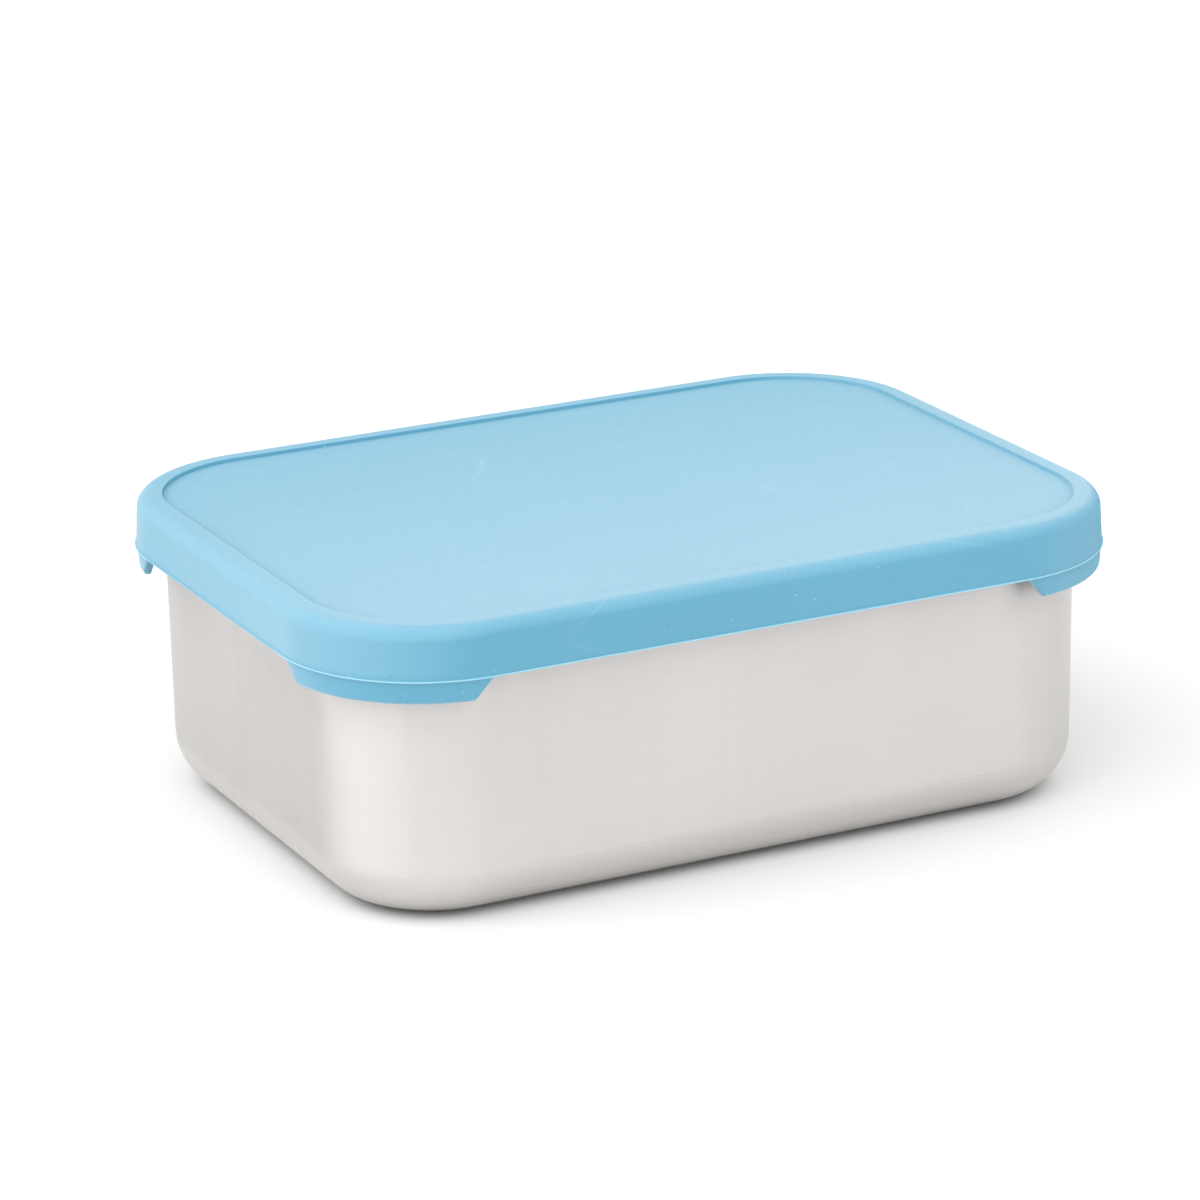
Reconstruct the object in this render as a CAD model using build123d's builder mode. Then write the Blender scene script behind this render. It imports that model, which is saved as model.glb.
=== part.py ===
from build123d import *
import os
from math import cos, radians, sin, tan

# Lunch box: a deep-drawn stainless steel container and its one-piece silicone lid, in millimetres.
# The origin is the centre of the underside, +X runs along the box and +Z is up.
#
# Both pieces are cross-sections carried round one rounded rectangle, the lid's outline seen from
# above. A point of a section is (inset, height): how far it lies inside that outline, and how far
# above the surface that the box stands on.

# Lid outline, over the parting bead
LENGTH = 205.0
WIDTH = 151.0
CORNER_RADIUS = 35.5
HEIGHT = 72.0

# Steel container
STEEL = 0.7
WALL_INSET = 7.0
WALL_DRAFT = 0.4
BASE_RADIUS = 13.5
RIM_HEIGHT = 68.7
RIM_INSET = 3.2
RIM_BEND = 0.8
CURL_BEND = 0.6
CURL_DROP = 1.6
CURL_RETURN = 1.5
FOOT_WIDTH = 5.0
PRESSED_RISE = 0.8
PRESSED_RUN = 3.0
PRESSED_BEND = 2.0
PRESSED_EDGE = 2.5

# Silicone lid
SKIRT_HEIGHT = 12.2
SKIRT_DRAFT = 3.0
SKIRT_LIP = 2.4
LIP_RADIUS = 0.6
BEAD_PROUD = 0.3
BEAD_HEIGHT = 0.5
SHOULDER_RADIUS = 3.4
BORDER_WIDTH = 6.0
RECESS = 0.9
RECESS_SLOPE = 0.3
RECESS_RADIUS = 0.4
PANEL = 2.4
RIM_CLEARANCE = 0.1
PLUG_CLEARANCE = 0.45
PLUG_WALL = 2.2
PLUG_DEPTH = 7.0
PLUG_RADIUS = 0.8
RIB_PROUD = 0.35
RIB_HEIGHT = 1.2
RIB_DROPS = (2.4, 4.8)

# Corner pull tabs
TAB_DROP = 5.2
TAB_ROOT = 1.5
TAB_INSET = 0.5
TAB_THICKNESS = 1.9
TAB_TAPER = 4.0
TAB_OUTER_RADIUS = 1.1
TAB_INNER_RADIUS = 0.5
TAB_END_SLANT = 41.0

# Heights and insets that follow from the sizes above
SKIRT_BOTTOM = HEIGHT - SKIRT_HEIGHT
PANEL_TOP = HEIGHT - RECESS
PANEL_UNDER = PANEL_TOP - PANEL
SKIRT_LEAN = tan(radians(SKIRT_DRAFT))
WALL_LEAN = tan(radians(WALL_DRAFT))

# Local x of a section plane is the inset and local y the height, at the start of the outline.
OUTLINE_START = (CORNER_RADIUS - LENGTH / 2, -WIDTH / 2, 0)
SECTION_PLANE = Plane(origin=OUTLINE_START, x_dir=(0, 1, 0), z_dir=(1, 0, 0))


def outline():
    """The lid's outline: four straight sides joined by quarter turns, anticlockwise."""
    long_side = LENGTH - 2 * CORNER_RADIUS
    short_side = WIDTH - 2 * CORNER_RADIUS
    start = OUTLINE_START
    with BuildLine() as path:
        for heading, run in ((0, long_side), (90, short_side), (180, long_side), (270, short_side)):
            side = PolarLine(start, run, heading)
            turn = JernArc(side @ 1, side % 1, CORNER_RADIUS, 90)
            start = turn @ 1
    return path.wire()


def inset_rectangle(inset):
    """The outline moved inwards, as a sketch object."""
    return RectangleRounded(LENGTH - 2 * inset, WIDTH - 2 * inset, CORNER_RADIUS - inset)


# Container: pressed base, foot ring, base radius, wall, flange and curled edge, all one sheet.
# The line is the sheet's outer face, and the sheet's thickness lies to the right of it.
wall_foot = WALL_INSET + RIM_HEIGHT * WALL_LEAN
foot_inner = wall_foot + BASE_RADIUS + FOOT_WIDTH
pressed_outer = foot_inner + PRESSED_RUN
sheet_edge = pressed_outer + PRESSED_EDGE
flange_under = RIM_HEIGHT - STEEL
curl_inset = RIM_INSET + STEEL
curl_bottom = flange_under - CURL_DROP

with BuildPart() as steel_container:
    with BuildSketch(SECTION_PLANE):
        with BuildLine():
            outer_face = FilletPolyline(
                (sheet_edge, PRESSED_RISE),
                (pressed_outer, PRESSED_RISE),
                (foot_inner, 0),
                (wall_foot, 0),
                (WALL_INSET, flange_under),
                (curl_inset, flange_under),
                (curl_inset, curl_bottom),
                (curl_inset + CURL_RETURN, curl_bottom),
                radius=(PRESSED_BEND, PRESSED_BEND, BASE_RADIUS, RIM_BEND, CURL_BEND, CURL_BEND),
            )
            offset(outer_face, amount=STEEL, side=Side.RIGHT)
        make_face()
    sweep(path=outline())
    with BuildSketch(Plane.XY.offset(PRESSED_RISE)):
        inset_rectangle(sheet_edge)
    extrude(amount=STEEL)
steel_container.part.label = "steel_container"

# Lid: a panel that closes the groove for the steel rim, the border and skirt round it, and the plug
# wall with its sealing ribs, which hangs from the panel just inside the steel wall.
shoulder = BEAD_PROUD + SKIRT_HEIGHT * SKIRT_LEAN
recess_edge = shoulder + BORDER_WIDTH
recess_foot = recess_edge + RECESS_SLOPE
groove_wall = RIM_INSET - RIM_CLEARANCE
skirt_inner = BEAD_PROUD + SKIRT_LIP
plug_face = WALL_INSET + STEEL + PLUG_CLEARANCE
plug_inner = plug_face + PLUG_WALL
plug_bottom = PANEL_UNDER - PLUG_DEPTH
panel_middle = PANEL_UNDER + PANEL / 2
bead_middle = SKIRT_BOTTOM + BEAD_HEIGHT / 2

# Pull tabs: one at each corner, hanging from the skirt and turned round the corner's own centre.
# Each end is cut on a slant, so that the tab is shorter at its free edge than at its root.
corner_x = LENGTH / 2 - CORNER_RADIUS
corner_y = CORNER_RADIUS - WIDTH / 2
tab_bottom = SKIRT_BOTTOM - TAB_DROP
tab_foot = TAB_INSET + TAB_DROP * tan(radians(TAB_TAPER))
slant = radians(TAB_END_SLANT)
front_end = Plane(origin=(corner_x, 0, SKIRT_BOTTOM), z_dir=(cos(slant), 0, sin(slant)))
side_end = Plane(origin=(0, corner_y, SKIRT_BOTTOM), z_dir=(0, -cos(slant), sin(slant)))

with BuildPart() as pull_tabs:
    with BuildSketch(Plane(origin=(corner_x, -WIDTH / 2, 0), x_dir=(0, 1, 0), z_dir=(1, 0, 0))):
        with BuildLine():
            FilletPolyline(
                (TAB_INSET, SKIRT_BOTTOM + TAB_ROOT),
                (TAB_INSET, SKIRT_BOTTOM),
                (tab_foot, tab_bottom),
                (tab_foot + TAB_THICKNESS, tab_bottom),
                (TAB_INSET + TAB_THICKNESS, SKIRT_BOTTOM),
                (TAB_INSET + TAB_THICKNESS, SKIRT_BOTTOM + TAB_ROOT),
                radius=(0, 0, TAB_OUTER_RADIUS, TAB_INNER_RADIUS, 0, 0),
                close=True,
            )
        make_face()
    revolve(axis=Axis((corner_x, corner_y, 0), (0, 0, 1)), revolution_arc=90)
    split(bisect_by=front_end)
    split(bisect_by=side_end)
    mirror(about=Plane.YZ)
    mirror(about=Plane.XZ)

with BuildPart() as silicone_lid:
    with BuildSketch(Plane.XY.offset(PANEL_UNDER)):
        inset_rectangle(groove_wall)
    extrude(amount=PANEL)
    with BuildSketch(SECTION_PLANE):
        with BuildLine():
            FilletPolyline(
                (BEAD_PROUD, SKIRT_BOTTOM),
                (shoulder, HEIGHT),
                (recess_edge, HEIGHT),
                (recess_foot, PANEL_TOP),
                (recess_foot, panel_middle),
                (groove_wall, RIM_HEIGHT),
                (skirt_inner, SKIRT_BOTTOM),
                radius=(0, SHOULDER_RADIUS, RECESS_RADIUS, 0, 0, 0, LIP_RADIUS),
                close=True,
            )
        make_face()
        with Locations((2 * BEAD_PROUD, bead_middle)):
            Ellipse(2 * BEAD_PROUD, BEAD_HEIGHT / 2)
        with BuildLine():
            FilletPolyline(
                (plug_face, panel_middle),
                (plug_face, plug_bottom),
                (plug_inner, plug_bottom),
                (plug_inner, panel_middle),
                radius=(0, PLUG_RADIUS, PLUG_RADIUS, 0),
                close=True,
            )
        make_face()
        for drop in RIB_DROPS:
            with Locations((plug_face, PANEL_UNDER - drop)):
                Ellipse(RIB_PROUD, RIB_HEIGHT / 2)
    sweep(path=outline())
    add(pull_tabs.part)
silicone_lid.part.label = "silicone_lid"

os.makedirs("parts", exist_ok=True)
for piece in (steel_container, silicone_lid):
    export_step(piece.part, f"parts/{piece.part.label}.step")
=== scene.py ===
import math

import bmesh
import bpy
from mathutils import Matrix, Vector


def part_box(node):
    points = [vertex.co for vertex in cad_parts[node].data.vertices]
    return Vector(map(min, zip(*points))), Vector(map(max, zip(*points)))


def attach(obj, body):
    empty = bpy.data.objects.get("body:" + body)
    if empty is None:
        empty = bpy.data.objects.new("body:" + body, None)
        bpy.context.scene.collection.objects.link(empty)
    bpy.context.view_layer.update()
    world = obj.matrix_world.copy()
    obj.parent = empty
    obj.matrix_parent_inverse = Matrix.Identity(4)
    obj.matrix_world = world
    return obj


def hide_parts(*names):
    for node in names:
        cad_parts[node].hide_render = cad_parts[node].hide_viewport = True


# The looks of a lunch box, a drawn steel container and its silicone lid, in the CAD's own frame.
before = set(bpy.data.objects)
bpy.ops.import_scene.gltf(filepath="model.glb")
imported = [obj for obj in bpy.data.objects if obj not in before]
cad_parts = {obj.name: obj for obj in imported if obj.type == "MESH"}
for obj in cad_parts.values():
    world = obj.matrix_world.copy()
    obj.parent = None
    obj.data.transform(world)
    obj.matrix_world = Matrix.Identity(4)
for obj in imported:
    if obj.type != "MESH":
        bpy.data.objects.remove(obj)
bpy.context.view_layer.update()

# Sizes below are in millimetres, and MM turns them into metres. Both pieces are cross-sections
# carried round the lid's outline: a section point is (inset from that outline, height).
MM = 0.001
lid_low, lid_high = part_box("silicone_lid")
steel_low, steel_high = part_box("steel_container")
LENGTH = (lid_high.x - lid_low.x) / MM
WIDTH = (lid_high.y - lid_low.y) / MM
HEIGHT = lid_high.z / MM
RIM_HEIGHT = steel_high.z / MM
RIM_INSET = (LENGTH - (steel_high.x - steel_low.x) / MM) / 2
CORNER_RADIUS = 35.5
CORNER_X = LENGTH / 2 - CORNER_RADIUS
CORNER_Y = WIDTH / 2 - CORNER_RADIUS

# Steel container
STEEL = 0.7
WALL_INSET = 7.0
WALL_LEAN = math.tan(math.radians(0.4))
BASE_RADIUS = 13.5
RIM_BEND = 0.8
CURL_BEND = 0.6
CURL_DROP = 1.6
CURL_RETURN = 1.5
FOOT_WIDTH = 5.0
PRESSED_RISE = 0.8
PRESSED_RUN = 3.0
PRESSED_BEND = 2.0
PRESSED_EDGE = 2.5

# Silicone lid
SKIRT_HEIGHT = 12.2
SKIRT_LEAN = math.tan(math.radians(3.0))
SKIRT_LIP = 2.4
LIP_RADIUS = 0.25
BEAD_PROUD = 0.3
BEAD_HEIGHT = 0.5
BEAD_FACE = (0.3 * BEAD_HEIGHT, 0.7 * BEAD_HEIGHT)
BEAD_TOP_RADIUS = 0.1
BEAD_EDGE_RADIUS = 0.08
BEAD_FOOT_RADIUS = 0.05
SHOULDER_RADIUS = 3.4
BORDER_WIDTH = 6.0
BORDER_CROWN = 0.12
CROWN_WIDTH = 1.2
CROWN_RADIUS = 12
RECESS = 0.9
RECESS_SLOPE = 0.12
RECESS_RADIUS = 0.12
PANEL = 2.4
PANEL_REACH = 2 * PANEL
RIM_CLEARANCE = 0.1
PLUG_CLEARANCE = 0.45
PLUG_WALL = 2.2
PLUG_DEPTH = 7.0
PLUG_RADIUS = 0.8
PLUG_PLAIN = 1
RIB_PROUD = 0.35
RIB_HEIGHT = 1.2
RIB_DROPS = (2.4, 4.8)
RIB_STEPS = 8
GROOVE_RADIUS = 0.3
TAB_DROP = 5.2
TAB_INSET = 0.5
TAB_THICKNESS = 1.9
TAB_LEAN = math.tan(math.radians(4.0))
TAB_OUTER_RADIUS = 1.1
TAB_INNER_RADIUS = 0.5
TAB_END_RUN = TAB_DROP * math.tan(math.radians(41.0))
TAB_END_EASE = 0.08

SKIRT_BOTTOM = HEIGHT - SKIRT_HEIGHT
PANEL_TOP = HEIGHT - RECESS
PANEL_UNDER = PANEL_TOP - PANEL

# How finely the meshes follow the shape
ARC_STEP = math.radians(6)
ARC_LEAST_STEPS = 3
LEAST_TURN = 1e-4
LEAST_GAP = 1e-4
EDGE_GUARD = 0.3
LONG_FLAT = 4 * EDGE_GUARD
STRAIGHT_STEP = 4.0
TAB_END_STEP = 0.35
TAB_END_REACH = 7.0
TAB_MIDDLE_STEP = 1.8
STEEL_TURNS = 20
SHARP_ANGLE = math.radians(40)

# Colours, linear
BLUE_DEEP = (0.082, 0.289, 0.408)
BLUE_PALE = (0.086, 0.298, 0.421)
# The next colour is a painted highlight along the parting bead.
BEAD_HIGHLIGHT_BLUE = (0.42, 0.72, 0.84)
DUST_DARK = (0.03, 0.09, 0.14)
# The next colour is pale dust on specks and scratches, and painted light on the front left corner.
PALE_DUST_AND_LIGHT = (0.6, 0.75, 0.8)
STEEL_DARK = (0.585, 0.564, 0.55)
STEEL_LIGHT = (0.65, 0.628, 0.615)
# The next colour is a painted warm reflection of the floor, low on the steel.
STEEL_PAINTED_REFLECTION = (0.66, 0.65, 0.6)
CONTACT_DARK = (0.03, 0.03, 0.03)
FLOOR_WHITE = (0.75, 0.75, 0.75)

# The lid's textures. A scale is features per metre, with one for each axis where the texture is
# stretched, and a spread is the noise values from which to which a texture grows to its full.
NOISE_SPREAD = (0.3, 0.7)
CLOUD_SCALE = 16
MOTTLE_SCALE = 260
MOTTLE_ROUGHNESS = (0.52, 0.6)
GRAIN_SCALE = 2600
SCRATCH_SCALES = (9, 26, 26)
SCRATCH_CONTOUR = 0.5
SCRATCH_WIDTH = 0.0022
SCRATCH_PATCHES = 30
SCRATCH_PATCH_SPREAD = (0.52, 0.62)
SCRATCH_STRENGTH = 0.07
# Specks: cells per metre, a speck's size in cells, the share of cells without one, and strength
DARK_SPECKS = (520, 0.15, 0.8, 0.35)
PALE_SPECKS = (430, 0.14, 0.88, 0.25)
SPECK_ONSET = 0.02
# A highlight is painted along the parting bead: it is paler than the lid, as far as BEAD_BAND above
# and below its middle line. The painted highlight is faint on the short sides, and grows to its full
# paleness between two distances from the lid's middle, in metres.
BEAD_BAND = 0.3 * BEAD_HEIGHT
BEAD_HIGHLIGHT_STRENGTH = 0.45
BEAD_FAINTNESS = 0.12
BEAD_FADE = (0.034, 0.042)
# A haze of fine dust is thicker towards the front, and changes over HAZE_REACH each side of the
# middle, in metres. It is rubbed off where the lid faces right. A facing is a pair of cosines, of the
# angle between a surface's normal and a direction, at which something starts and is complete.
HAZE_FRONT = 0.6
HAZE_BACK = 0.3
HAZE_REACH = 0.07
RUBBED_AZIMUTH = 90
RUBBED_FACING = (0.15, 0.7)
# Painted light round the front left corner, from above the tab: a paler colour where the light
# falls on it. The heights are in metres. The rubbed side partly stands in for how the light falls on the
# right.
LIT_CORNER_SIDE = (-55, 35)
LIT_CORNER_FACING = (0.6, 0.87)
LIT_CORNER_HEIGHTS = (0.0595, 0.0615)
LIT_CORNER_STRENGTH = 0.1

# The steel's textures
BRUSH_SCALES = (40, 40, 1700)
BRUSH_LIGHTNESS = (0.4, 0.8)
STREAK_SCALES = (170, 170, 9)
STREAK_SPREAD = (0.4, 0.7)
STREAK_DARKNESS = 0.15
STREAK_ROUGHNESS = (0.4, 0.43)
SMUDGE_SCALE = 22
SMUDGE_SPREAD = (0.45, 0.7)
SMUDGE_DARKNESS = 0.6
BRUSHING = 0.9
# Painted floor reflection: a little warmer towards the floor, between these heights in metres.
PAINTED_REFLECTION_HEIGHTS = (0.0135, 0.05)
PAINTED_REFLECTION_WARMTH = 0.3
# It is almost black where it curves under, which stands in for the photo's crisp contact shadow and
# is not a mark on the real steel. The darkening grows between these values of the normal's Z, and
# leaves out the flats, where the normal points straight down. From below it shows as dark rings, on
# the base's curve and on the step round the pressed panel.
CONTACT_SLOPES = (-0.79, -0.92)
FLAT_SLOPES = (-1, -0.99)
CONTACT_STRENGTH = 0.9

# Bumps: depth in metres, and strength
GRAIN_BUMP = (0.0001, 0.25)
MOTTLE_BUMP = (0.0003, 0.12)
BRUSH_BUMP = (0.00004, 0.2)

# Studio: a white room, brighter towards a window at the left, where a soft lamp stands too.
# Lengths are in metres. The lamp's numbers are azimuth, elevation, distance, width and height; the
# glow's are azimuth, elevation, the cosines where it starts and is full, and strength.
FLOOR_REACH = 12.0
FLOOR_GAP = 0.00002
ROOM_BACK = 0.5
ROOM_FRONT = 1.8
ROOM_ELEVATION = 35
FRONT_AZIMUTH = -10
ROOM_GLOW = (-95, 30, 0.6, 0.85, 0.62)
WINDOW_LAMP = (-105, 38, 0.9, 0.6, 0.6)
WINDOW_POWER = 1.3

# Camera
VIEW_AZIMUTH = -26.37
VIEW_ELEVATION = 18.29
VIEW_ROLL = -1.11
VIEW_DISTANCE = 1.16016
AIM_HEIGHT = 0.0312
AIM_RIGHT = -0.00442
AIM_UP = 0.01271
SENSOR = 36.0
FOCAL_LENGTH = 147.36


# ------------------------------------------------------------------------------ section curves
def rounded(points, radii):
    """A polyline with its inner corners rounded, as a list of close points. radii has one value for
    each inner point. Long flats get a guard point near each end, so that they shade flat."""
    curve = [Vector(points[0])]
    for before, corner, after, radius in zip(points, points[1:], points[2:], radii):
        corner = Vector(corner)
        back = (Vector(before) - corner).normalized()
        onward = (Vector(after) - corner).normalized()
        turn = math.pi - back.angle(onward)
        if radius == 0 or turn < LEAST_TURN:
            curve.append(corner)
            continue
        reach = radius * math.tan(turn / 2)
        centre = corner + (back + onward).normalized() * radius / math.cos(turn / 2)
        first = corner + back * reach - centre
        spin = 1 if back.cross(onward) < 0 else -1
        steps = max(ARC_LEAST_STEPS, math.ceil(turn / ARC_STEP))
        for step in range(steps + 1):
            curve.append(centre + Matrix.Rotation(spin * turn * step / steps, 2) @ first)
    curve.append(Vector(points[-1]))
    return guarded(curve)


def guarded(curve):
    """The curve with a point added just inside each end of every long flat."""
    result = [curve[0]]
    for start, end in zip(curve, curve[1:]):
        gap = (end - start).length
        if gap < LEAST_GAP:
            continue
        if gap > LONG_FLAT:
            along = (end - start) / gap
            result += [start + along * EDGE_GUARD, end - along * EDGE_GUARD]
        result.append(end)
    return result


def moved_aside(curve, distance):
    """The curve moved to its right by distance, point by point."""
    result = []
    for index, point in enumerate(curve):
        ahead = curve[min(index + 1, len(curve) - 1)]
        behind = curve[max(index - 1, 0)]
        along = (ahead - behind).normalized()
        result.append(point + Vector((along.y, -along.x)) * distance)
    return result


# ------------------------------------------------------------------------------ outline and rings
def outline(turns):
    """The lid's outline as a list of (x, y, outward x, outward y, distance into a corner), which
    runs anticlockwise from the middle of the front left corner. turns are the shares of a quarter
    turn at which a corner has a point, from 0 to 1. The distance is zero on the straight sides."""
    quarter = CORNER_RADIUS * math.pi / 2
    points = []
    for corner, (side_x, side_y) in enumerate(((-1, -1), (1, -1), (1, 1), (-1, 1))):
        for turn in turns:
            angle = math.pi * (1 + (corner + turn) / 2)
            out_x, out_y = math.cos(angle), math.sin(angle)
            x = side_x * CORNER_X + out_x * CORNER_RADIUS
            y = side_y * CORNER_Y + out_y * CORNER_RADIUS
            points.append((x, y, out_x, out_y, quarter * min(turn, 1 - turn)))
        run = 2 * (CORNER_X, CORNER_Y)[corner % 2]
        steps = round(run / STRAIGHT_STEP)
        for step in range(1, steps):
            ahead = run * step / steps
            points.append((x - out_y * ahead, y + out_x * ahead, out_x, out_y, 0.0))
    half_corner = len(turns) // 2
    return points[half_corner:] + points[:half_corner]


def corner_turns(end_step, end_reach, middle_step):
    """Shares of a quarter turn: close together near both ends, wider apart between."""
    quarter = CORNER_RADIUS * math.pi / 2
    ends = round(end_reach / end_step)
    middles = 2 * round((quarter / 2 - end_reach) / middle_step)
    near = [step * end_step for step in range(ends)]
    between = [end_reach + (quarter - 2 * end_reach) * i / middles for i in range(middles + 1)]
    return [d / quarter for d in near + between + [quarter - d for d in reversed(near)]]


def swept_mesh(name, path, section, drop=None):
    """A closed surface: the section's rings, joined in order, and a grid over each end ring.
    drop(corner distance, section index) gives how far a point hangs below its section height."""
    mesh = bmesh.new()
    rings = []
    for index, (inset, height) in enumerate(section):
        ring = []
        for x, y, out_x, out_y, into_corner in path:
            lower = drop(into_corner, index) if drop else 0
            place = (x - out_x * inset, y - out_y * inset, height - lower)
            ring.append(mesh.verts.new(Vector(place) * MM))
        rings.append(ring)
    for ring, following in zip(rings, rings[1:]):
        for index in range(len(ring)):
            before = index - 1
            mesh.faces.new((ring[before], ring[index], following[index], following[before]))
    fill_grid(mesh, rings[0])
    fill_grid(mesh, rings[-1])
    bmesh.ops.recalc_face_normals(mesh, faces=mesh.faces)
    data = bpy.data.meshes.new(name)
    mesh.to_mesh(data)
    mesh.free()
    data.shade_smooth()
    piece = bpy.data.objects.new(name, data)
    bpy.context.scene.collection.objects.link(piece)
    return piece


def fill_grid(mesh, ring):
    """Fills a rounded rectangle with a grid. The ring starts in the middle of a corner."""
    total = len(ring) // 2
    wide = round(total * side_share(ring))
    deep = total - wide
    front = ring[: wide + 1]
    right = ring[wide : wide + deep + 1]
    back = ring[wide + deep : 2 * wide + deep + 1][::-1]
    left = (ring[2 * wide + deep :] + ring[:1])[::-1]
    rows = [front]
    for row in range(1, deep):
        up = row / deep
        line = [left[row]]
        for column in range(1, wide):
            across = column / wide
            sides = left[row].co.lerp(right[row].co, across) + front[column].co.lerp(back[column].co, up)
            low = front[0].co.lerp(front[-1].co, across)
            high = back[0].co.lerp(back[-1].co, across)
            line.append(mesh.verts.new(sides - low.lerp(high, up)))
        rows.append(line + [right[row]])
    rows.append(back)
    for lower, upper in zip(rows, rows[1:]):
        for column in range(wide):
            mesh.faces.new((lower[column], lower[column + 1], upper[column + 1], upper[column]))


def side_share(ring):
    """The share of half the ring's points that lies along one long side."""
    half = len(ring) // 2
    long_steps = round(2 * CORNER_X / STRAIGHT_STEP)
    short_steps = round(2 * CORNER_Y / STRAIGHT_STEP)
    corner_steps = half - long_steps - short_steps
    return (long_steps + corner_steps / 2) / half


# ------------------------------------------------------------------------------ steel container
def steel_section():
    """From the middle of the underside, out under the rim's curl, and back down inside."""
    wall_foot = WALL_INSET + RIM_HEIGHT * WALL_LEAN
    foot_inner = wall_foot + BASE_RADIUS + FOOT_WIDTH
    pressed_outer = foot_inner + PRESSED_RUN
    flange_under = RIM_HEIGHT - STEEL
    curl_inset = RIM_INSET + STEEL
    curl_bottom = flange_under - CURL_DROP
    outside = rounded(
        [
            (pressed_outer + PRESSED_EDGE, PRESSED_RISE),
            (pressed_outer, PRESSED_RISE),
            (foot_inner, 0),
            (wall_foot, 0),
            (WALL_INSET, flange_under),
            (curl_inset, flange_under),
            (curl_inset, curl_bottom),
            (curl_inset + CURL_RETURN, curl_bottom),
        ],
        [PRESSED_BEND, PRESSED_BEND, BASE_RADIUS, RIM_BEND, CURL_BEND, CURL_BEND],
    )
    return outside + moved_aside(outside, STEEL)[::-1]


def build_container(material):
    turns = [step / STEEL_TURNS for step in range(STEEL_TURNS + 1)]
    piece = swept_mesh("steel_shell", outline(turns), steel_section())
    finish_piece(piece, material, "container", "steel_container")


# ------------------------------------------------------------------------------ silicone lid
def lid_section():
    """From the panel's middle over the border, down the skirt, round the tab, and back underneath.
    Returns the section's points, and for each the share of a tab's drop that it takes."""
    shoulder = BEAD_PROUD + SKIRT_HEIGHT * SKIRT_LEAN
    recess_edge = shoulder + BORDER_WIDTH
    recess_foot = recess_edge + RECESS_SLOPE
    tab_foot = TAB_INSET + TAB_DROP * TAB_LEAN
    tab_back = TAB_INSET + TAB_THICKNESS
    plug_face = WALL_INSET + STEEL + PLUG_CLEARANCE
    plug_inner = plug_face + PLUG_WALL
    plug_bottom = PANEL_UNDER - PLUG_DEPTH
    panel_inner = plug_inner + PANEL_REACH
    over = rounded(
        [
            (panel_inner, PANEL_TOP),
            (recess_foot, PANEL_TOP),
            (recess_edge, HEIGHT),
            (recess_edge - CROWN_WIDTH, HEIGHT),
            (shoulder, HEIGHT - BORDER_CROWN),
            (BEAD_PROUD + BEAD_HEIGHT * SKIRT_LEAN, SKIRT_BOTTOM + BEAD_HEIGHT),
            (0, SKIRT_BOTTOM + BEAD_FACE[1]),
            (0, SKIRT_BOTTOM + BEAD_FACE[0]),
            (BEAD_PROUD, SKIRT_BOTTOM),
            (TAB_INSET, SKIRT_BOTTOM),
        ],
        [
            RECESS_RADIUS,
            RECESS_RADIUS,
            CROWN_RADIUS,
            SHOULDER_RADIUS,
            BEAD_TOP_RADIUS,
            BEAD_EDGE_RADIUS,
            BEAD_EDGE_RADIUS,
            BEAD_FOOT_RADIUS,
        ],
    )
    tab = rounded(
        [
            (TAB_INSET, SKIRT_BOTTOM),
            (tab_foot, SKIRT_BOTTOM - TAB_DROP),
            (tab_foot + TAB_THICKNESS, SKIRT_BOTTOM - TAB_DROP),
            (tab_back, SKIRT_BOTTOM),
        ],
        [TAB_OUTER_RADIUS, TAB_INNER_RADIUS],
    )
    groove = rounded(
        [
            (tab_back, SKIRT_BOTTOM),
            (SKIRT_LIP + BEAD_PROUD, SKIRT_BOTTOM),
            (RIM_INSET - RIM_CLEARANCE, RIM_HEIGHT),
            (plug_face, RIM_HEIGHT),
            (plug_face, RIM_HEIGHT - PLUG_PLAIN),
        ],
        [LIP_RADIUS, GROOVE_RADIUS, GROOVE_RADIUS],
    )
    ribs = [rib_point(plug_face, drop, step) for drop in RIB_DROPS for step in range(RIB_STEPS + 1)]
    under = rounded(
        [
            (plug_face, plug_bottom + PLUG_PLAIN),
            (plug_face, plug_bottom),
            (plug_inner, plug_bottom),
            (plug_inner, PANEL_UNDER),
            (panel_inner, PANEL_UNDER),
        ],
        [PLUG_RADIUS, PLUG_RADIUS, PLUG_RADIUS],
    )
    section = [(p.x, p.y) for p in over] + [(p.x, SKIRT_BOTTOM) for p in tab[1:-1]]
    section += [(p.x, p.y) for p in groove + ribs + under]
    shares = [0.0] * len(over) + [(SKIRT_BOTTOM - p.y) / TAB_DROP for p in tab[1:-1]]
    return section, shares + [0.0] * (len(section) - len(shares))


def rib_point(plug_face, drop, step):
    """A point of a sealing rib, which stands out of the plug wall as half an ellipse."""
    angle = math.pi * step / RIB_STEPS
    height = PANEL_UNDER - drop + math.cos(angle) * RIB_HEIGHT / 2
    return Vector((plug_face - math.sin(angle) * RIB_PROUD, height))


def eased(share, ease):
    """0 below 0, share above, with the corner between them eased."""
    if share <= -ease:
        return 0.0
    return share if share >= ease else (share + ease) ** 2 / (4 * ease)


def tab_depth(into_corner):
    """How far the tab hangs below the skirt, this far along the corner from where it starts."""
    rising = eased(into_corner / TAB_END_RUN - TAB_END_EASE, TAB_END_EASE)
    return TAB_DROP * (1 - eased(1 - rising, TAB_END_EASE))


def build_lid(material):
    section, shares = lid_section()
    turns = corner_turns(TAB_END_STEP, TAB_END_REACH, TAB_MIDDLE_STEP)

    def drop(into_corner, index):
        return shares[index] * tab_depth(into_corner)

    piece = swept_mesh("silicone_cover", outline(turns), section, drop)
    finish_piece(piece, material, "lid", "silicone_lid")


def finish_piece(piece, material, body, node):
    piece.data.set_sharp_from_angle(angle=SHARP_ANGLE)
    piece.data.materials.append(material)
    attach(piece, body)
    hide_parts(node)


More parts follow.
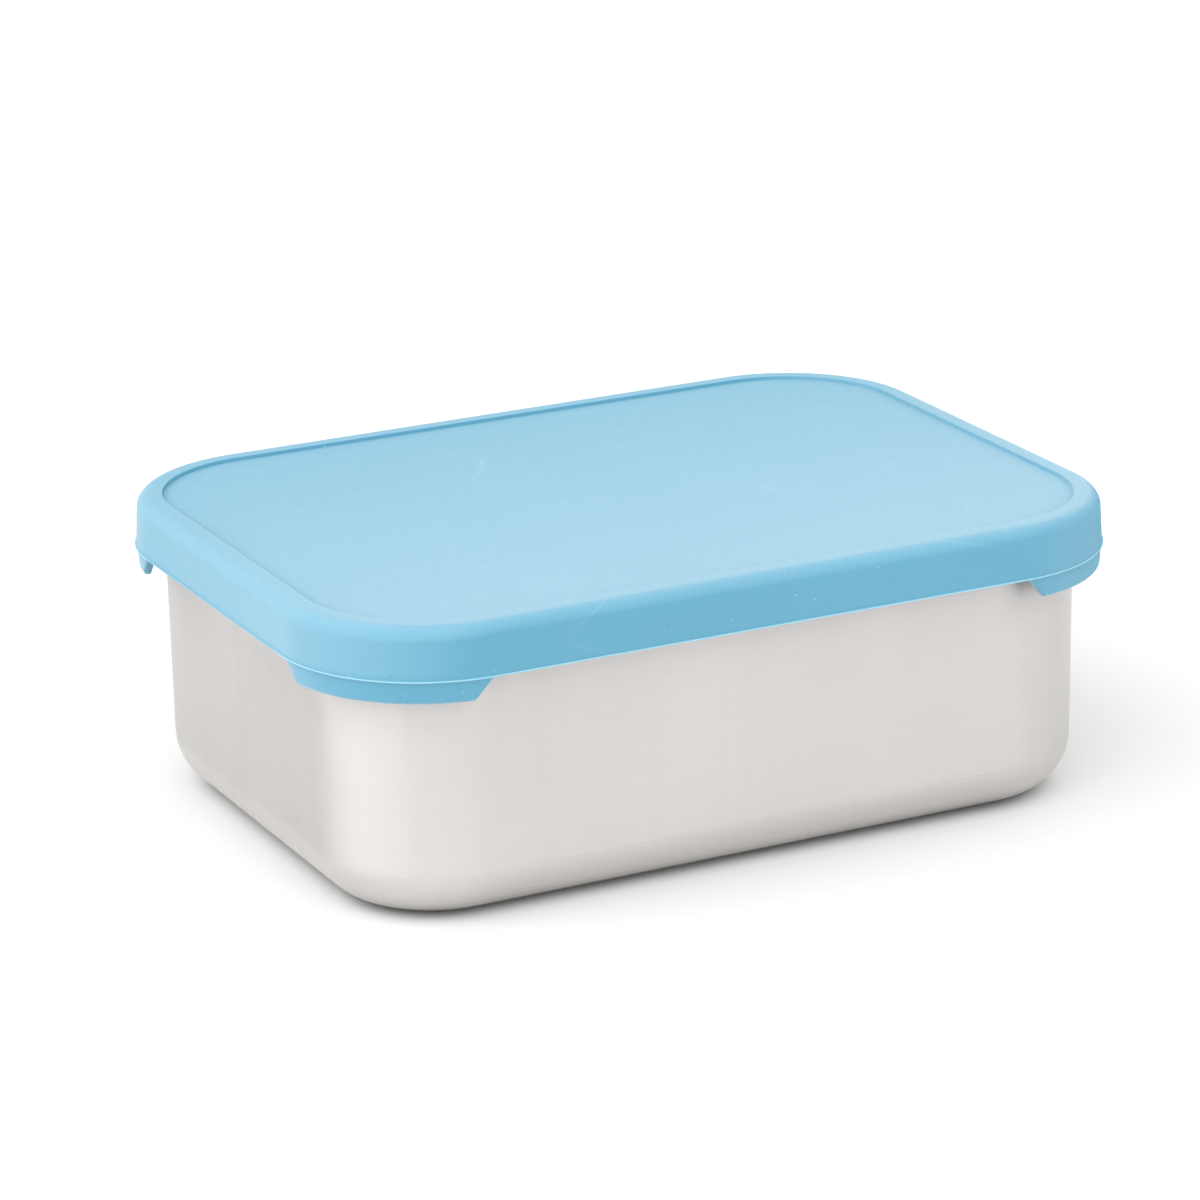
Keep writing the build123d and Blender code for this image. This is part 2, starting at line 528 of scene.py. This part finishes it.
# ------------------------------------------------------------------------------ materials
def node(tree, kind, inputs, **settings):
    """A shader node with its settings and inputs; an input is a value or another node's output."""
    made = tree.nodes.new(kind)
    for name, value in settings.items():
        setattr(made, name, value)
    for name, value in inputs.items():
        if isinstance(value, bpy.types.NodeSocket):
            tree.links.new(value, made.inputs[name])
        else:
            made.inputs[name].default_value = value
    return made


def blank_material(name):
    """A material with an empty node tree, and that tree."""
    material = bpy.data.materials.new(name)
    material.use_nodes = True
    material.node_tree.nodes.clear()
    return material, material.node_tree


def end_with(tree, surface):
    node(tree, "ShaderNodeOutputMaterial", {"Surface": surface})


def maths(tree, operation, *values):
    inputs = dict(enumerate(values))
    return node(tree, "ShaderNodeMath", inputs, operation=operation).outputs["Value"]


def noise(tree, place, scale=1.0, detail=2.0, roughness=0.5):
    inputs = {"Vector": place, "Scale": scale, "Detail": detail, "Roughness": roughness}
    return node(tree, "ShaderNodeTexNoise", inputs).outputs["Fac"]


def span(tree, value, low, high, to_low, to_high, **settings):
    """value from low..high mapped to to_low..to_high, and held at the ends."""
    inputs = {"Value": value, "From Min": low, "From Max": high, "To Min": to_low, "To Max": to_high}
    return node(tree, "ShaderNodeMapRange", inputs, **settings).outputs["Result"]


def stretched(tree, place, scales):
    return node(tree, "ShaderNodeMapping", {"Vector": place, "Scale": scales}).outputs["Vector"]


def blended(tree, share, first, second):
    """The first colour where share is 0, and the second where it is 1."""
    first, second = ((*c, 1) if isinstance(c, tuple) else c for c in (first, second))
    sockets = {0: share, 6: first, 7: second}
    return node(tree, "ShaderNodeMix", sockets, data_type="RGBA").outputs[2]


def bump(tree, height, depth, strength, under=None):
    """A bumped normal, on top of another one if it is given."""
    inputs = {"Height": height, "Distance": depth, "Strength": strength}
    if under:
        inputs["Normal"] = under
    return node(tree, "ShaderNodeBump", inputs).outputs["Normal"]


def specks(tree, place, scale, size, rarity, strength):
    """strength on small specks of dust, 0 elsewhere. rarity is the share of cells without one."""
    cells = node(tree, "ShaderNodeTexVoronoi", {"Vector": place, "Scale": scale}).outputs
    dot = span(tree, cells["Distance"], size / 2, size, strength, 0)
    luck = node(tree, "ShaderNodeSeparateColor", {"Color": cells["Color"]}).outputs["Red"]
    return maths(tree, "MULTIPLY", dot, span(tree, luck, rarity, rarity + SPECK_ONSET, 0, 1))


def scratches(tree, place):
    """How strongly a few long thin scratches show; 0 elsewhere."""
    wander = noise(tree, stretched(tree, place, SCRATCH_SCALES), detail=1.0)
    line = maths(tree, "COMPARE", wander, SCRATCH_CONTOUR, SCRATCH_WIDTH)
    patched = noise(tree, place, SCRATCH_PATCHES)
    patch = span(tree, patched, *SCRATCH_PATCH_SPREAD, 0, SCRATCH_STRENGTH)
    return maths(tree, "MULTIPLY", line, patch)


def silicone():
    """Matte blue silicone: faint clouds, a painted highlight along the parting bead, dust, scratches,
    haze and grain, and painted light round the front left corner.
    """
    material, tree = blank_material("silicone_light_blue")
    coordinates = node(tree, "ShaderNodeTexCoord", {}).outputs
    place = coordinates["Object"]
    outward = coordinates["Normal"]
    parts = node(tree, "ShaderNodeSeparateXYZ", {"Vector": place}).outputs
    clouds = noise(tree, place, CLOUD_SCALE, detail=3.0)
    mottle = noise(tree, place, MOTTLE_SCALE)
    grain = noise(tree, place, GRAIN_SCALE, detail=3.0, roughness=0.6)
    # Painted highlight along the parting bead, faint on the short sides.
    bead_middle = (SKIRT_BOTTOM + BEAD_HEIGHT / 2) * MM
    bead_highlight = maths(tree, "COMPARE", parts["Z"], bead_middle, BEAD_BAND * MM)
    along = maths(tree, "ABSOLUTE", parts["Y"])
    bead_highlight = maths(tree, "MULTIPLY", bead_highlight, span(tree, along, *BEAD_FADE, BEAD_FAINTNESS, BEAD_HIGHLIGHT_STRENGTH))
    haze = span(tree, parts["Y"], -HAZE_REACH, HAZE_REACH, HAZE_FRONT, HAZE_BACK)
    rubbed = facing(tree, outward, RUBBED_AZIMUTH, 0)
    haze = maths(tree, "MULTIPLY", haze, span(tree, rubbed, *RUBBED_FACING, 1, 0))
    # Painted light: paler where the light falls on the front left corner, above the tab.
    lit_corner = span(tree, facing(tree, outward, *LIT_CORNER_SIDE), *LIT_CORNER_FACING, 0, LIT_CORNER_STRENGTH)
    lit_corner = maths(tree, "MULTIPLY", lit_corner, span(tree, parts["Z"], *LIT_CORNER_HEIGHTS, 0, 1))
    colour = blended(tree, span(tree, clouds, *NOISE_SPREAD, 0, 1), BLUE_DEEP, BLUE_PALE)
    colour = blended(tree, lit_corner, colour, PALE_DUST_AND_LIGHT)
    colour = blended(tree, bead_highlight, colour, BEAD_HIGHLIGHT_BLUE)
    colour = blended(tree, specks(tree, place, *DARK_SPECKS), colour, DUST_DARK)
    colour = blended(tree, specks(tree, place, *PALE_SPECKS), colour, PALE_DUST_AND_LIGHT)
    colour = blended(tree, scratches(tree, place), colour, PALE_DUST_AND_LIGHT)
    grained = bump(tree, grain, *GRAIN_BUMP)
    surface = node(
        tree,
        "ShaderNodeBsdfPrincipled",
        {
            "Base Color": colour,
            "Roughness": span(tree, mottle, *NOISE_SPREAD, *MOTTLE_ROUGHNESS),
            "IOR": 1.41,
            "Sheen Weight": haze,
            "Sheen Roughness": 0.5,
            "Subsurface Weight": 0.15,
            "Subsurface Radius": (0.6, 0.9, 1.0),
            "Subsurface Scale": 0.002,
            "Normal": bump(tree, mottle, *MOTTLE_BUMP, under=grained),
        },
    )
    end_with(tree, surface.outputs["BSDF"])
    return material


def brushed_steel():
    """Satin steel, brushed level round the walls, with faint upright streaks and smudges, and
    darkened where it curves under, in place of a crisp contact shadow."""
    material, tree = blank_material("steel_satin")
    coordinates = node(tree, "ShaderNodeTexCoord", {}).outputs
    place = coordinates["Object"]
    slope = node(tree, "ShaderNodeSeparateXYZ", {"Vector": coordinates["Normal"]}).outputs["Z"]
    height = node(tree, "ShaderNodeSeparateXYZ", {"Vector": place}).outputs["Z"]
    brushed = noise(tree, stretched(tree, place, BRUSH_SCALES), detail=4.0, roughness=0.65)
    streaked = noise(tree, stretched(tree, place, STREAK_SCALES), detail=3.0)
    smudged = noise(tree, place, SMUDGE_SCALE, detail=3.0)
    colour = blended(tree, span(tree, brushed, *NOISE_SPREAD, *BRUSH_LIGHTNESS), STEEL_DARK, STEEL_LIGHT)
    colour = blended(tree, span(tree, streaked, *STREAK_SPREAD, 0, STREAK_DARKNESS), colour, STEEL_DARK)
    colour = blended(tree, span(tree, smudged, *SMUDGE_SPREAD, 0, SMUDGE_DARKNESS), colour, STEEL_DARK)
    # Painted floor reflection: warmer towards the floor.
    colour = blended(tree, span(tree, height, *PAINTED_REFLECTION_HEIGHTS, PAINTED_REFLECTION_WARMTH, 0), colour, STEEL_PAINTED_REFLECTION)
    curved = span(tree, slope, *CONTACT_SLOPES, 0, CONTACT_STRENGTH)
    darkened = maths(tree, "MULTIPLY", curved, span(tree, slope, *FLAT_SLOPES, 0, 1))
    colour = blended(tree, darkened, colour, CONTACT_DARK)
    surface = node(
        tree,
        "ShaderNodeBsdfPrincipled",
        {
            "Base Color": colour,
            "Metallic": 1.0,
            "Roughness": span(tree, streaked, *NOISE_SPREAD, *STREAK_ROUGHNESS),
            "Anisotropic": span(tree, height, STEEL * MM, BASE_RADIUS * MM, 0, BRUSHING),
            "Anisotropic Rotation": 0.25,
            "Normal": bump(tree, brushed, *BRUSH_BUMP),
        },
    )
    tangent = node(tree, "ShaderNodeTangent", {}, direction_type="RADIAL", axis="Z")
    tree.links.new(tangent.outputs["Tangent"], surface.inputs["Tangent"])
    end_with(tree, surface.outputs["BSDF"])
    return material


def pale_floor():
    material, tree = blank_material("floor_white")
    surface = node(tree, "ShaderNodeBsdfDiffuse", {"Color": (*FLOOR_WHITE, 1)})
    end_with(tree, surface.outputs["BSDF"])
    return material


# ------------------------------------------------------------------------------ studio
def build_floor():
    mesh = bmesh.new()
    corners = [(-1, -1), (1, -1), (1, 1), (-1, 1)]
    mesh.faces.new([mesh.verts.new((x * FLOOR_REACH, y * FLOOR_REACH, -FLOOR_GAP)) for x, y in corners])
    data = bpy.data.meshes.new("floor")
    mesh.to_mesh(data)
    mesh.free()
    floor = bpy.data.objects.new("floor", data)
    bpy.context.scene.collection.objects.link(floor)
    data.materials.append(pale_floor())


def light_room():
    """A white room that is brighter on the window side, where one broad soft lamp stands too."""
    world = bpy.data.worlds.new("studio")
    bpy.context.scene.world = world
    world.use_nodes = True
    tree = world.node_tree
    tree.nodes.clear()
    looking = node(tree, "ShaderNodeTexCoord", {}).outputs["Generated"]
    front = facing(tree, looking, FRONT_AZIMUTH, ROOM_ELEVATION)
    room = span(tree, front, -1, 1, ROOM_BACK, ROOM_FRONT)
    azimuth, elevation, rim, core, strength = ROOM_GLOW
    toward = facing(tree, looking, azimuth, elevation)
    glow = span(tree, toward, rim, core, 0, strength, interpolation_type="SMOOTHSTEP")
    room = maths(tree, "ADD", room, glow)
    sky = node(tree, "ShaderNodeBackground", {"Color": (1, 1, 1, 1), "Strength": room})
    node(tree, "ShaderNodeOutputWorld", {"Surface": sky.outputs["Background"]})
    soft_lamp("window", WINDOW_LAMP, WINDOW_POWER)


def facing(tree, looking, azimuth, elevation):
    """The cosine of the angle between a direction of the shader's and the given one."""
    inputs = {0: looking, 1: direction(azimuth, elevation)}
    return node(tree, "ShaderNodeVectorMath", inputs, operation="DOT_PRODUCT").outputs["Value"]


def soft_lamp(name, placing, power):
    """A rectangular lamp that faces the box. placing is azimuth, elevation, distance, width, height."""
    azimuth, elevation, distance, width, height = placing
    lamp = bpy.data.lights.new(name, "AREA")
    lamp.shape = "RECTANGLE"
    lamp.size = width
    lamp.size_y = height
    lamp.energy = power
    holder = bpy.data.objects.new(name, lamp)
    holder.location = direction(azimuth, elevation) * distance
    holder.rotation_mode = "QUATERNION"
    holder.rotation_quaternion = direction(azimuth, elevation).to_track_quat("Z", "Y")
    bpy.context.scene.collection.objects.link(holder)


def direction(azimuth, elevation):
    """From the object to a viewer or lamp, in degrees: azimuth 0 is in front (-Y), 90 at the right."""
    across, up = math.radians(azimuth), math.radians(elevation)
    level = math.cos(up)
    return Vector((math.sin(across) * level, -math.cos(across) * level, math.sin(up)))


def aim_camera():
    back = direction(VIEW_AZIMUTH, VIEW_ELEVATION)
    turned = back.to_track_quat("Z", "Y") @ Matrix.Rotation(math.radians(VIEW_ROLL), 3, "Z").to_quaternion()
    lens = bpy.data.cameras.new("camera")
    lens.sensor_width = SENSOR
    lens.lens = FOCAL_LENGTH
    camera = bpy.data.objects.new("camera", lens)
    camera.rotation_mode = "QUATERNION"
    camera.rotation_quaternion = turned
    aim = Vector((0, 0, AIM_HEIGHT)) + turned @ Vector((AIM_RIGHT, AIM_UP, 0))
    camera.location = aim + back * VIEW_DISTANCE
    bpy.context.scene.collection.objects.link(camera)
    bpy.context.scene.camera = camera


bpy.context.scene.view_settings.view_transform = "Standard"
aim_camera()
build_floor()
light_room()
build_container(brushed_steel())
build_lid(silicone())
